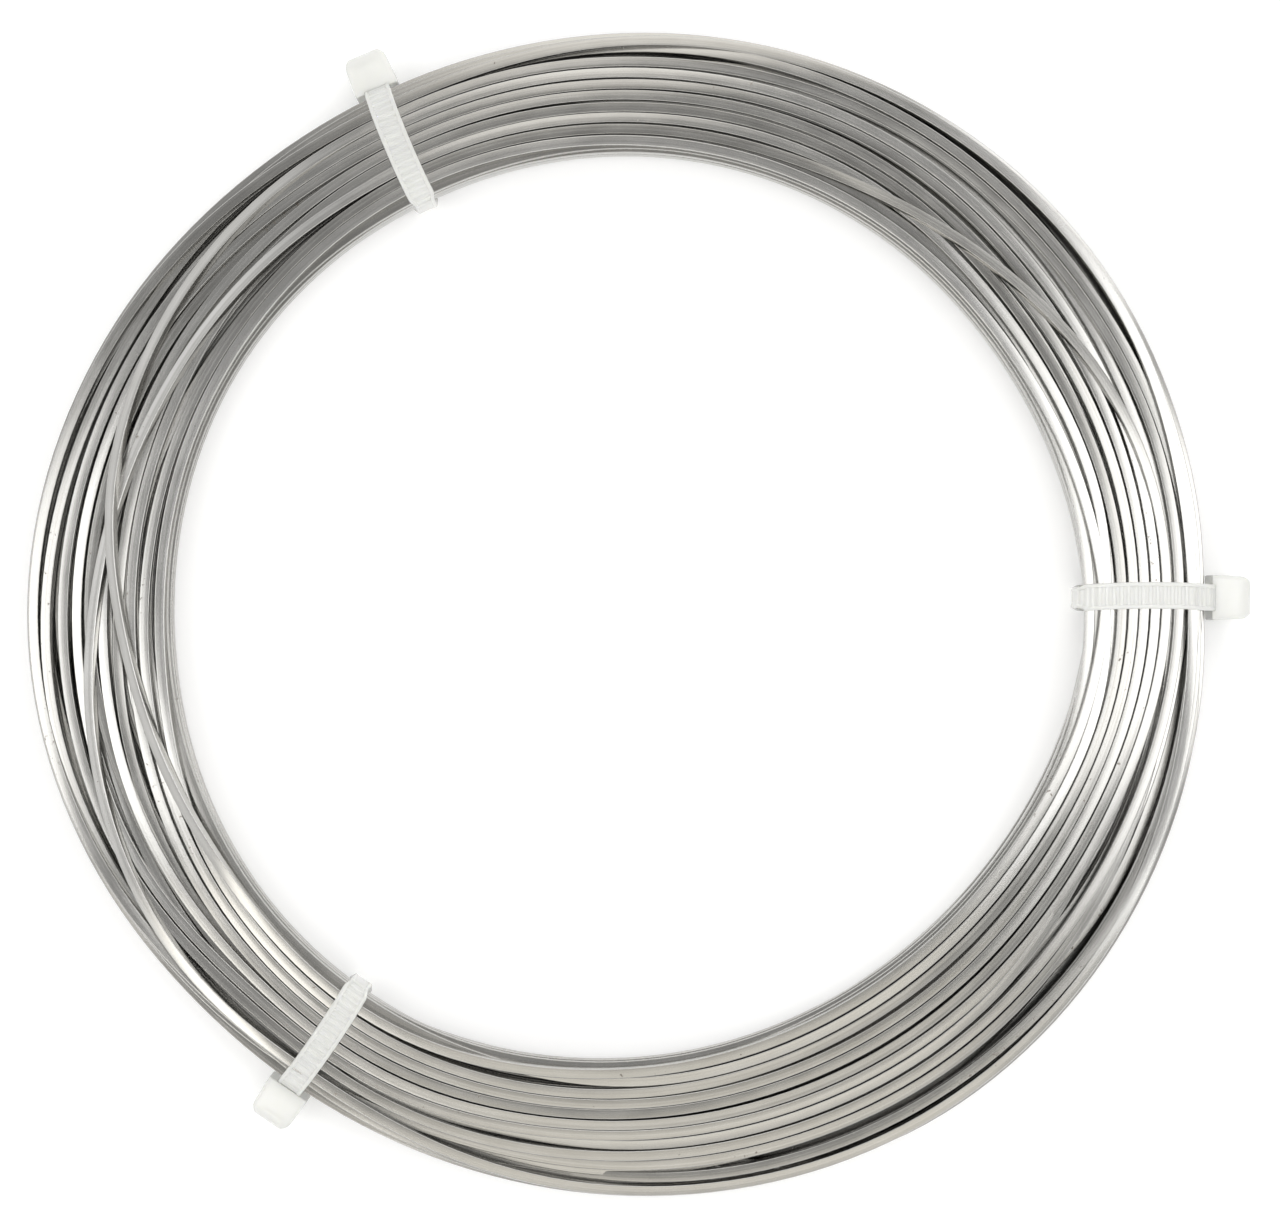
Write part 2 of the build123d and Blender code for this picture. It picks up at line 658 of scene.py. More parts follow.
@dataclass(frozen=True)
class Span:
    """The stretch between two ties, with the strands in each row half-way along it, from the bottom up.

    Strands come up to fill the rows that widen, in one window of the span, and go down again in another.
    They come from all over the ring, or from about one share of its width.
    """

    start: Tie
    end: Tie
    middle_rows: tuple[int, ...]
    grouping: float
    rises: tuple[float, float] = (0.02, 0.16)
    falls: tuple[float, float] = (0.52, 0.65)
    raised_at: float | None = None
    advances: bool = False
    crossings: tuple[Crossing, ...] = ()

    @property
    def start_angle(self) -> float:
        """Angle of the tie that the span starts from."""
        return self.start.value.angle

    @property
    def length(self) -> float:
        """Angle from the first tie to the second."""
        return (self.end.value.angle - self.start.value.angle) % 360.0


@dataclass
class Stay:
    """A strand's stay in one row of a span: its place across, the room it takes and its radius there."""

    row: int
    across: float
    room: np.ndarray
    radius: np.ndarray | None = None


class SpanLayer:
    """Lays every turn along one span: rows are packed at each station, and some turns cross over them."""

    def __init__(
        self,
        coil: "WireCoil",
        number: int,
        turns: list[tuple[Slot, ...]],
        angles: np.ndarray,
        rng: np.random.Generator,
    ) -> None:
        """Sorts the turns into those that stay in the rows and those that cross over.

        Args:
            coil: The coil that the span belongs to.
            number: Which span.
            turns: The slots of each turn at the ties.
            angles: Angle of each station in the span, counted up from its first tie.
            rng: Source of the seeded draws.
        """
        self.coil = coil
        self.span = coil.spans[number]
        self.angles = angles
        self.rng = rng
        self.along = (angles - self.span.start_angle) / self.span.length
        self.top = len(coil.tie_rows) - 1
        self.inner, self.outer = coil.outline.radii(angles)
        self.openness = coil.openness(angles)
        self.passes = {index: (slots[number], slots[number + 1]) for index, slots in enumerate(turns)}
        self.crossing: dict[int, Crossing] = {}
        for item in self.span.crossings:
            wanted = Slot(self.top, item.leaves_column)
            strand = next(index for index, slots in self.passes.items() if slots[0] == wanted)
            self.crossing[strand] = item
        self.stays: dict[int, list[Stay]] = {}
        self.changes: dict[int, list[float]] = {}
        self.rows: list[list[Stay]] = [[] for _ in coil.tie_rows]

    def eased(self, begin: float) -> np.ndarray:
        """A change that starts at a share of the span."""
        return smooth_step((self.along - begin) / self.coil.change)

    def middle_rows(self) -> dict[int, int]:
        """Row of each strand half-way along, by which the wider rows there are filled.

        Returns:
            Row by strand. Below the second row, strands at the bore and the rim mostly keep to theirs.
        """
        coil, start = self.coil, self.span.start
        golden = (math.sqrt(5.0) - 1.0) / 2.0
        staying = [strand for strand in self.passes if strand not in self.crossing]
        across = {strand: coil.slot_radius(self.passes[strand][0], start) for strand in staying}
        rank = {}
        for index, strand in enumerate(sorted(staying, key=across.get)):
            first, last = self.passes[strand]
            at_edge = first.column in (0, coil.tie_rows[first.row] - 1) and first.row < self.top - 1
            lift = 0.0 if at_edge else (index * golden) % 1.0 - 0.5
            rank[strand] = (first.row + last.row) / 2 + lift
            if self.span.raised_at is not None:
                low, high = coil.tie_row_limits(first.row, start)
                off = (across[strand] - low) / (high - low) - self.span.raised_at
                rank[strand] += coil.raised_by * bell(off / coil.raised_reach)
        rows = np.repeat(np.arange(len(self.span.middle_rows)), self.span.middle_rows)
        return {strand: int(row) for strand, row in zip(sorted(staying, key=rank.get), rows)}

    def add_stay(self, strand: int, row: int, across: float, room: np.ndarray) -> None:
        """Gives a strand room in a row. One that comes back to its place there takes up its earlier stay.

        Args:
            strand: The strand's number.
            row: The row, from the bottom.
            across: Its place across the ring, by which the row is sorted.
            room: The share of a strand's width that it takes along the span.
        """
        held = self.stays.setdefault(strand, [])
        for stay in held:
            if stay.row == row and stay.across == across:
                stay.room = np.maximum(stay.room, room)
                held.append(stay)
                return
        held.append(Stay(row, across, room))
        self.rows[row].append(held[-1])

    def between_edges(self, row: int, across: float, middle: dict[int, int]) -> float:
        """Place across of a strand that comes into a row, between the strands that keep to that row.

        Args:
            row: The row that it comes into.
            across: Its place across the ring at the ties.
            middle: Row of each strand half-way along.

        Returns:
            The place, by which the row is sorted.
        """
        kept = [
            (self.coil.slot_radius(first, self.span.start) + self.coil.slot_radius(last, self.span.end)) / 2
            for strand, (first, last) in self.passes.items()
            if first.row == last.row == middle.get(strand) == row
        ]
        return min(max(across, min(kept) + self.coil.tie_slack), max(kept) - self.coil.tie_slack)

    def place_turns(self) -> None:
        """Gives every strand its stays: at the first tie, half-way along and at the second tie."""
        coil, span = self.coil, self.span
        whole = np.ones_like(self.along)
        middle = self.middle_rows()
        for strand, (first, last) in self.passes.items():
            start_across = coil.slot_radius(first, span.start)
            end_across = coil.slot_radius(last, span.end)
            if strand in self.crossing:
                item = self.crossing[strand]
                self.add_stay(strand, self.top, start_across, 1.0 - self.eased(item.leaves_at + coil.change))
                self.add_stay(strand, self.top, end_across, self.eased(item.joins_at - coil.change))
                continue
            rows = [first.row]
            changes = []
            for row, window in ((middle[strand], span.rises), (last.row, span.falls)):
                time = self.rng.uniform(*window)
                if row != rows[-1]:
                    rows.append(row)
                    changes.append(time)
            self.changes[strand] = changes
            for index, row in enumerate(rows):
                room = whole
                across = (start_across + end_across) / 2
                if index > 0:
                    room = room * self.eased(changes[index - 1])
                    across = self.between_edges(row, across, middle)
                if index < len(changes):
                    room = room * (1.0 - self.eased(changes[index] + coil.leave_share * coil.change))
                self.add_stay(strand, row, across, room)
        first_slot, last_slot = coil.winding()[0], coil.winding()[-1]
        self.add_stay(-1, first_slot.row, coil.slot_radius(first_slot, span.start), whole)
        if span.advances:
            held = 1.0 - smooth_step(self.along / coil.end_share)
            self.add_stay(-2, last_slot.row, coil.slot_radius(last_slot, span.start), held)

    def looseness(self, ends_at: np.ndarray, waves: np.ndarray, gaps: tuple[Gap, ...]) -> np.ndarray:
        """Weight of the gap after each stay of a row.

        Args:
            ends_at: Share of the row's strands up to and with each stay, by stay and station.
            waves: Waves across and along the row, and their phase, by which its strands bunch.
            gaps: Lasting gaps of the row.

        Returns:
            The weights, by stay and station.
        """
        pull = np.zeros_like(ends_at)
        for across, along, phase in waves:
            pull += np.sin(2.0 * np.pi * (across * ends_at + along * self.along + phase))
        spread = self.span.grouping * np.sqrt(np.sin(np.pi * np.clip(self.along, 0.0, 1.0)))
        weight = spread * pull / math.sqrt(len(waves) / 2.0)
        for gap in gaps:
            turned = turned_from(gap.angle, self.angles)
            off = (ends_at - gap.share - gap.drift * turned) / self.coil.gap_width
            weight += gap.strength * bell(turned / gap.reach) * bell(off)
        return np.exp(weight)

    def pack_row(self, number: int, waves: np.ndarray, gaps: tuple[Gap, ...]) -> None:
        """Spreads the strands of one row over its width, in bunches with gaps between them.

        Args:
            number: The row, from the bottom.
            waves: Waves by which its strands bunch.
            gaps: Lasting gaps of the row.
        """
        coil, row = self.coil, self.rows[number]
        row.sort(key=lambda stay: stay.across)
        at_start = coil.tie_row_limits(number, self.span.start)
        at_end = coil.tie_row_limits(number, self.span.end)
        low, high = (a + (b - a) * smooth_step(self.along) for a, b in zip(at_start, at_end))
        low = low + self.openness * (self.inner + coil.side / 2 + coil.bore_insets[number] - low)
        high = high + self.openness * (self.outer - coil.side / 2 - coil.rim_insets[number] - high)
        room = np.stack([stay.room for stay in row])
        cells = coil.side * room
        centres = np.cumsum(cells, axis=0) - cells / 2
        slack = high - low + coil.side - cells.sum(axis=0)
        after = np.cumsum(room[::-1], axis=0)[::-1] - room
        loose = self.looseness(np.cumsum(room, axis=0) / room.sum(axis=0), waves, gaps)
        weight = np.where(slack > 0, loose, 1.0) * room * np.minimum(after, 1.0)
        share = (np.cumsum(weight, axis=0) - weight) / np.maximum(weight.sum(axis=0), 1e-6)
        for stay, radius in zip(row, low - coil.side / 2 + centres + slack * share):
            stay.radius = radius

    def pack_rows(self) -> list[np.ndarray]:
        """Packs all rows. The two uppermost share their waves, and the uppermost ones the lasting gaps.

        Returns:
            Height of each row along the span.
        """
        coil = self.coil
        heights = []
        for number in range(len(self.rows)):
            if number < self.top:
                waves = self.rng.uniform(*coil.wave_range, size=(coil.waves, 3))
            self.pack_row(number, waves, coil.gaps if number > self.top - coil.gap_rows else ())
            tie_height = coil.loop.rise + coil.tie_row_height(number)
            heights.append(tie_height + self.openness * (coil.middle_row_height(number) - tie_height))
        return heights

    def cross_over(self, strand: int) -> tuple[np.ndarray, np.ndarray]:
        """Lays a turn that crosses over the others.

        Args:
            strand: The turn.

        Returns:
            Its radius along the span, and how far it is free of the row.
        """
        item = self.crossing[strand]
        leaves, joins = self.stays[strand]
        places, shares = np.array(item.path).T
        lap = np.where(places < self.span.start_angle - 1.0, places + 360.0, places)
        share = smooth_along(np.interp(self.angles, lap, shares), self.coil.path_smoothing)
        over = self.inner + self.coil.side / 2 + share * (self.outer - self.inner - self.coil.side)
        ends = np.where(self.along < 0.5, leaves.radius, joins.radius)
        free = self.eased(item.leaves_at) * (1.0 - self.eased(item.joins_at))
        return ends + free * (over - ends), free

    def stack(self, radius: np.ndarray, depth: np.ndarray) -> None:
        """Brings strands of the second row under the nearest ones of the top row, so that its gaps are deep.

        Args:
            radius: Radius by turn and station, which is changed.
            depth: Depth below the top row, in strands.
        """
        coil = self.coil
        share = (radius - self.inner) / (self.outer - self.inner)
        inside = smooth_step(share / coil.tilt_share) * smooth_step((1.0 - share) / coil.tilt_share)
        for station in range(len(self.along)):
            above = radius[depth[:, station] < coil.row_reach, station]
            below = np.flatnonzero(np.abs(depth[:, station] - coil.second_row) < coil.row_reach)
            off = above[:, None] - radius[below, station][None, :]
            nearest = off[np.abs(off).argmin(axis=0), np.arange(len(below))]
            near = smooth_step((coil.stack_share * coil.side - np.abs(nearest)) / coil.stack_fade)
            radius[below, station] += coil.stack_pull * inside[below, station] * near * nearest

    def lay(self) -> tuple[np.ndarray, np.ndarray, np.ndarray, dict[int, np.ndarray]]:
        """Lays the span.

        Returns:
            Radius, height and roll by turn and station, and how free each crossing turn is, lowest first.
        """
        self.place_turns()
        heights = self.pack_rows()
        radius, height, roll, loose = np.zeros((4, len(self.passes), len(self.along)))
        for strand in self.passes:
            stays = self.stays[strand]
            height[strand] = heights[stays[0].row]
            if strand in self.crossing:
                radius[strand], loose[strand] = self.cross_over(strand)
                roll[strand] = self.crossing[strand].roll * loose[strand]
                continue
            radius[strand] = stays[0].radius
            for stay, time in zip(stays[1:], self.changes[strand]):
                sideways = self.eased(time + self.coil.sideways_share * self.coil.change)
                upwards = self.eased(time + self.coil.upwards_share * self.coil.change)
                radius[strand] += sideways * (stay.radius - radius[strand])
                height[strand] += upwards * (heights[stay.row] - height[strand])
        depth = (heights[self.top] - height) / self.coil.side
        self.stack(radius, depth + loose)
        share = (radius - self.inner) / (self.outer - self.inner)
        shown = smooth_step(self.coil.shown_depth - depth)
        roll += (1.0 - loose) * self.coil.leaning(self.angles, share, shown)
        return radius, height, roll, {strand: loose[strand] for strand in self.crossing}


@dataclass
class WireCoil:
    """The one long wire, laid in turns from the lower tie round to the right."""

    loop: StrapLoop
    outline: RingOutline = field(default_factory=RingOutline)
    finish: DrawnWireFinish = field(default_factory=DrawnWireFinish)
    seed: int = 7
    side: float = 1.8
    corner: float = 0.16
    corner_steps: int = 2
    crown: float = 2.5
    stations: int = 180
    tie_rows: tuple[int, ...] = (9, 10, 11, 11, 11, 10, 9)
    tie_slack: float = 0.04
    tie_top_reach: tuple[float, float] = (-7.8, 6.6)
    middle_top: float = 6.7
    bore_insets: tuple[float, ...] = (0.9, 0.3, 0.1, 0.0, 0.1, 0.3, 0.8)
    rim_insets: tuple[float, ...] = (1.1, 0.4, 0.1, 0.0, 0.1, 0.5, 1.0)
    opening: float = 30.0
    change: float = 0.13
    end_share: float = 0.02
    leave_share: float = 1.6
    sideways_share: float = 0.2
    upwards_share: float = 0.8
    raised_by: float = 1.5
    raised_reach: float = 0.1
    gap_width: float = 0.04
    gap_rows: int = 3
    row_reach: float = 0.4
    second_row: float = 1.1
    stack_share: float = 0.75
    stack_fade: float = 0.5
    stack_pull: float = 0.9
    path_smoothing: float = 3.0
    radius_smoothing: float = 4.0
    height_smoothing: float = 2.0
    roll_smoothing: float = 3.0
    drape_fade: float = 0.45
    drape_reach: int = 2
    drape_smoothing: float = 2.0
    drape_haste: float = 4.0
    height_spread: float = 0.1
    height_wander: float = 7.0
    twist_spread: float = 2.3
    twist_wanders: tuple[float, float] = (9.0, 60.0)
    tone_level: float = 0.5
    tone_spread: float = 0.17
    tone_wander: float = 22.0
    tie_hold: float = 0.65
    rim_tilt: float = -14.0
    bore_tilt: float = 5.0
    tilt_share: float = 0.1
    shown_depth: float = 2.5
    pieces: int = 3
    waves: int = 5
    wave_range: tuple[Triple, Triple] = ((2.5, -1.2, 0.0), (6.0, 1.2, 1.0))
    gaps: tuple[Gap, ...] = (
        Gap(332.0, 30.0, 0.83, 2.3, -0.001),
        Gap(282.0, 18.0, 0.83, 1.2),
        Gap(256.0, 15.0, 0.905, 3.4),
        Gap(294.0, 34.0, 0.915, 1.4),
        Gap(98.0, 16.0, 0.82, 1.5),
        Gap(178.0, 20.0, 0.82, 0.3),
        Gap(207.0, 14.0, 0.88, 1.4),
    )
    leans: tuple[Lean, ...] = (
        Lean(50.0, 0.7, 26.0, 0.35, 12.0),
        Lean(62.0, 0.14, 20.0, 0.2, 7.0),
        Lean(92.0, 0.85, 22.0, 0.15, -4.0),
        Lean(172.0, 0.12, 16.0, 0.14, 4.0),
        Lean(207.0, 0.33, 16.0, 0.12, -6.0),
        Lean(226.0, 0.18, 12.0, 0.14, -6.0),
        Lean(216.0, 0.78, 20.0, 0.25, 7.0),
        Lean(292.0, 0.25, 20.0, 0.2, -4.0),
        Lean(341.0, 0.86, 17.0, 0.12, 12.0),
    )
    spans: tuple[Span, ...] = (
        Span(
            Tie.LOWER,
            Tie.RIGHT,
            (12, 11, 10, 6, 8, 11, 12),
            0.7,
            rises=(0.05, 0.1),
            falls=(0.56, 0.68),
            raised_at=0.84,
            advances=True,
        ),
        Span(
            Tie.RIGHT,
            Tie.UPPER,
            (12, 11, 10, 8, 9, 10, 9),
            0.8,
            crossings=(
                Crossing(
                    6, 1, 0.04, 0.5, -10.0,
                    ((1.8, 0.74), (8.3, 0.733), (32.6, 0.478), (60.0, 0.14), (75.6, 0.07), (110.0, 0.05)),
                ),
            ),
        ),
        Span(
            Tie.UPPER,
            Tie.LOWER,
            (12, 11, 8, 7, 10, 10, 10),
            1.0,
            crossings=(
                Crossing(
                    2, 7, 0.06, 0.9, -15.0,
                    (
                        (116.0, 0.27), (126.5, 0.28), (164.0, 0.39), (181.0, 0.49),
                        (194.0, 0.64), (209.0, 0.80), (225.0, 0.86),
                    ),
                ),
                Crossing(
                    7, 0, 0.0, 0.76, -21.0,
                    (
                        (116.0, 0.78), (137.0, 0.73), (165.0, 0.53), (179.0, 0.29),
                        (196.0, 0.165), (208.0, 0.05), (225.0, 0.05),
                    ),
                ),
            ),
        ),
    )

    def winding(self) -> list[Slot]:
        """Lists the slots in the order that the wire fills them.

        Returns:
            The slots, along each row, to and fro.
        """
        slots = []
        for row, columns in enumerate(self.tie_rows):
            order = range(columns) if row % 2 == 0 else reversed(range(columns))
            slots.extend(Slot(row, column) for column in order)
        return slots

    def shifted(self, slot: Slot, span: Span) -> Slot:
        """Where a turn comes out at the end of a span.

        Args:
            slot: Its place at the start.
            span: The span, with the turns that cross over in it.

        Returns:
            Its place at the end.
        """
        if span.advances:
            order = self.winding()
            return order[order.index(slot) + 1]
        top = len(self.tie_rows) - 1
        if slot.row != top or not span.crossings:
            return slot
        leaving = {crossing.leaves_column: crossing for crossing in span.crossings}
        columns = [column for column in range(self.tie_rows[top]) if column not in leaving]
        for crossing in sorted(span.crossings, key=lambda item: item.joins_column):
            columns.insert(crossing.joins_column, crossing.leaves_column)
        return Slot(top, columns.index(slot.column))

    def turns(self) -> list[tuple[Slot, ...]]:
        """Follows the wire through its slots.

        Returns:
            The slots of each turn at the ties that it meets, from the lower tie round to the lower tie.
        """
        order = self.winding()
        laid = []
        slot = order[0]
        while slot != order[-1]:
            stops = [slot]
            for span in self.spans:
                stops.append(self.shifted(stops[-1], span))
            laid.append(tuple(stops))
            slot = stops[-1]
        if len(laid) != len(order) - 1:
            raise ValueError(f"the wire is laid in {len(laid)} turns and should fill {len(order) - 1}")
        return laid

    def openness(self, angles: np.ndarray) -> np.ndarray:
        """How far the turns have spread at each angle: 0 under a tie and 1 well away from one."""
        away = [np.abs(turned_from(tie.value.angle, angles)) for tie in Tie]
        return smooth_step(np.min(away, axis=0) / self.opening)

    def tie_row_height(self, row: int) -> float:
        """Height of a row under a tie.

        Args:
            row: The row, from the bottom.

        Returns:
            Height of its middle above the loop's middle.
        """
        reach = self.loop.half_height - self.loop.thickness - self.side / 2 - self.tie_slack
        half_rows = (len(self.tie_rows) - 1) / 2
        return reach * (row - half_rows) / half_rows

    def tie_row_limits(self, row: int, tie: Tie) -> tuple[float, float]:
        """How far in and out a row reaches under a tie.

        Args:
            row: The row, from the bottom.
            tie: The tie.

        Returns:
            Least and greatest radius of its strands.
        """
        loop = self.loop.at(tie)
        if row in (0, len(self.tie_rows) - 1):
            low, high = self.tie_top_reach
            return loop.mean_radius + low - loop.bore_slack, loop.mean_radius + high + loop.rim_slack
        low, high = loop.limits(self.tie_row_height(row), self.side / 2)
        return low + self.tie_slack, high - self.tie_slack

    def slot_radius(self, slot: Slot, tie: Tie) -> float:
        """Radius of a slot's strand under a tie."""
        low, high = self.tie_row_limits(slot.row, tie)
        return low + (high - low) * slot.column / (self.tie_rows[slot.row] - 1)

    def middle_row_height(self, row: int) -> float:
        """Height of a row half-way between ties.

        Args:
            row: The row, from the bottom.

        Returns:
            Height of its middle.
        """
        bottom = self.loop.floor + self.side / 2 + self.tie_slack
        top = self.middle_top - self.side / 2
        return bottom + (top - bottom) * row / (len(self.tie_rows) - 1)

    def leaning(self, angles: np.ndarray, share: np.ndarray, shown: np.ndarray) -> np.ndarray:
        """How the strands lean over the ring: out at the rim, in at the bore, and on top in patches.

        Args:
            angles: Angle of each station.
            share: Share of the ring's width from the bore, by turn and station.
            shown: 1 for a strand in the two uppermost rows, less below them.

        Returns:
            The roll, in degrees, by turn and station.
        """
        at_rim = smooth_step((share - 1.0 + self.tilt_share) / self.tilt_share)
        at_bore = smooth_step((self.tilt_share - share) / self.tilt_share)
        roll = self.openness(angles) * (self.rim_tilt * at_rim + self.bore_tilt * at_bore)
        for lean in self.leans:
            turned = turned_from(lean.angle, angles)
            near = bell(turned / lean.along) * bell((share - lean.share) / lean.across)
            roll += shown * lean.roll * near
        return roll

    def drape(self, radius: np.ndarray, height: np.ndarray, strand: int, columns: np.ndarray) -> np.ndarray:
        """Height of a strand that lies on top of what it crosses.

        Args:
            radius: Radius by turn and station.
            height: Height by turn and station.
            strand: The turn that crosses over.
            columns: The stations of its span.

        Returns:
            Its height at those stations.
        """
        others = np.delete(np.arange(radius.shape[0]), strand)
        apart = np.abs(radius[others][:, columns] - radius[strand, columns])
        level = height[others][:, columns]
        carried = level + self.side * smooth_step((self.side - apart) / self.drape_fade)
        ridge = np.where(apart < self.side, carried, level.min()).max(axis=0)
        shifts = range(-self.drape_reach, self.drape_reach + 1)
        widened = np.max([np.roll(ridge, shift) for shift in shifts], axis=0)
        return smooth_along(widened, self.drape_smoothing)

    def lay(self) -> tuple[np.ndarray, np.ndarray, np.ndarray, np.ndarray]:
        """Lays the whole wire.

        Returns:
            Angle, radius, height and roll of its stations from one end to the other.
        """
        rng = np.random.default_rng(self.seed)
        turns = self.turns()
        first = self.spans[0].start_angle
        angles = first + 360.0 * np.arange(self.stations) / self.stations
        radius = np.zeros((len(turns), self.stations))
        height = np.zeros_like(radius)
        roll = np.zeros_like(radius)
        reached = first
        drapes = []
        for number, span in enumerate(self.spans):
            columns = np.flatnonzero((angles >= reached - 1e-6) & (angles < reached + span.length - 1e-6))
            local = angles[columns] - reached + span.start_angle
            laid = SpanLayer(self, number, turns, local, rng).lay()
            radius[:, columns], height[:, columns], roll[:, columns], crossing = laid
            drapes.extend((strand, columns, free) for strand, free in crossing.items())
            reached += span.length
        for strand, columns, free in drapes:
            level = height[strand, columns]
            draped = np.maximum(self.drape(radius, height, strand, columns), level)
            height[strand, columns] = level + np.minimum(self.drape_haste * free, 1.0) * (draped - level)
        run_angle = np.concatenate([first + 360.0 * np.arange(radius.size) / self.stations, [0.0]])
        run_angle[-1] = first + 360.0 * len(turns)
        end = turns[-1][-1]
        run_radius = np.concatenate([radius.ravel(), [self.slot_radius(end, self.spans[-1].end)]])
        run_height = np.concatenate([height.ravel(), [self.loop.rise + self.tie_row_height(end.row)]])
        run_radius = smooth_along(run_radius, self.radius_smoothing)
        run_height = smooth_along(run_height, self.height_smoothing)
        free = 1.0 - self.tie_hold * (1.0 - self.openness(run_angle))
        run_height += self.height_spread * free * wander(rng, len(run_height), self.height_wander)
        twist = sum(wander(rng, len(run_angle), reach) for reach in self.twist_wanders)
        run_roll = smooth_along(np.concatenate([roll.ravel(), [0.0]]), self.roll_smoothing)
        run_roll = np.radians(run_roll + self.twist_spread * free * twist)
        lowest = self.loop.floor + self.side / 2 * (np.cos(run_roll) + np.abs(np.sin(run_roll)))
        return run_angle, run_radius, np.maximum(run_height, lowest), run_roll

    def section(self) -> tuple[np.ndarray, np.ndarray]:
        """Draws the wire's square section, with eased corners and faintly crowned faces.

        Returns:
            Points round the section, and the normals there.
        """
        flat = self.side / 2 - self.corner
        points, normals = [], []
        for quarter in range(4):
            middle = math.radians(45.0 + 90.0 * quarter)
            centre = flat * math.sqrt(2.0) * np.array([math.cos(middle), math.sin(middle)])
            for step in range(self.corner_steps + 1):
                offset = 90.0 * step / self.corner_steps - 45.0
                facing = middle + math.radians(offset)
                leaning = middle + math.radians(offset * (1.0 - self.crown / 45.0))
                points.append(centre + self.corner * np.array([math.cos(facing), math.sin(facing)]))
                normals.append([math.cos(leaning), math.sin(leaning)])
        return np.array(points[::-1]), np.array(normals[::-1])

    def build(self) -> list[bpy.types.Object]:
        """Makes the wire's meshes and dresses them.

        Returns:
            The wire as pieces, in lengths that follow each other.
        """
        rng = np.random.default_rng(self.seed + 1)
        angle, radius, height, roll = self.lay()
        count = len(angle)
        turned = np.radians(angle)
        out = np.stack([np.cos(turned), np.sin(turned), np.zeros(count)], axis=1)
        up = np.array([0.0, 0.0, 1.0])
        centre = out * radius[:, None] + up * height[:, None]
        rolled = roll[:, None]
        across = (out * np.cos(rolled) + up * np.sin(rolled))[:, None, :]
        above = (up * np.cos(rolled) - out * np.sin(rolled))[:, None, :]
        points, normals = self.section()
        around = len(points)
        corners = centre[:, None, :] + points[None, :, :1] * across + points[None, :, 1:] * above
        facing = normals[None, :, :1] * across + normals[None, :, 1:] * above
        steps = np.linalg.norm(np.diff(centre, axis=0), axis=1)
        run = np.zeros_like(corners)
        run[:, :, 0] = np.concatenate([[0.0], np.cumsum(steps)])[:, None]
        run[:, :, 1] = np.arange(around) / around
        tone = self.tone_level + self.tone_spread * wander(rng, count, self.tone_wander)
        run[:, :, 2] = tone[:, None]
        cuts = np.linspace(0, count - 1, self.pieces + 1).astype(int)
        material = self.finish.material()
        made = []
        for index, (low, high) in enumerate(zip(cuts[:-1], cuts[1:])):
            part = slice(low, high + 1)
            faces = closed_tube_faces(high - low + 1, around)
            mesh = metre_mesh(f"wire_length_{index + 1}", corners[part].reshape(-1, 3), faces)
            mesh.shade_smooth()
            mesh.normals_split_custom_set_from_vertices(facing[part].reshape(-1, 3).tolist())
            held = mesh.attributes.new(RUN_ATTRIBUTE, "FLOAT_VECTOR", "POINT")
            held.data.foreach_set("vector", run[part].ravel().astype(np.float32))
            mesh.materials.append(material)
            made.append(add_piece(mesh.name, mesh, COIL_NODE))
        return made


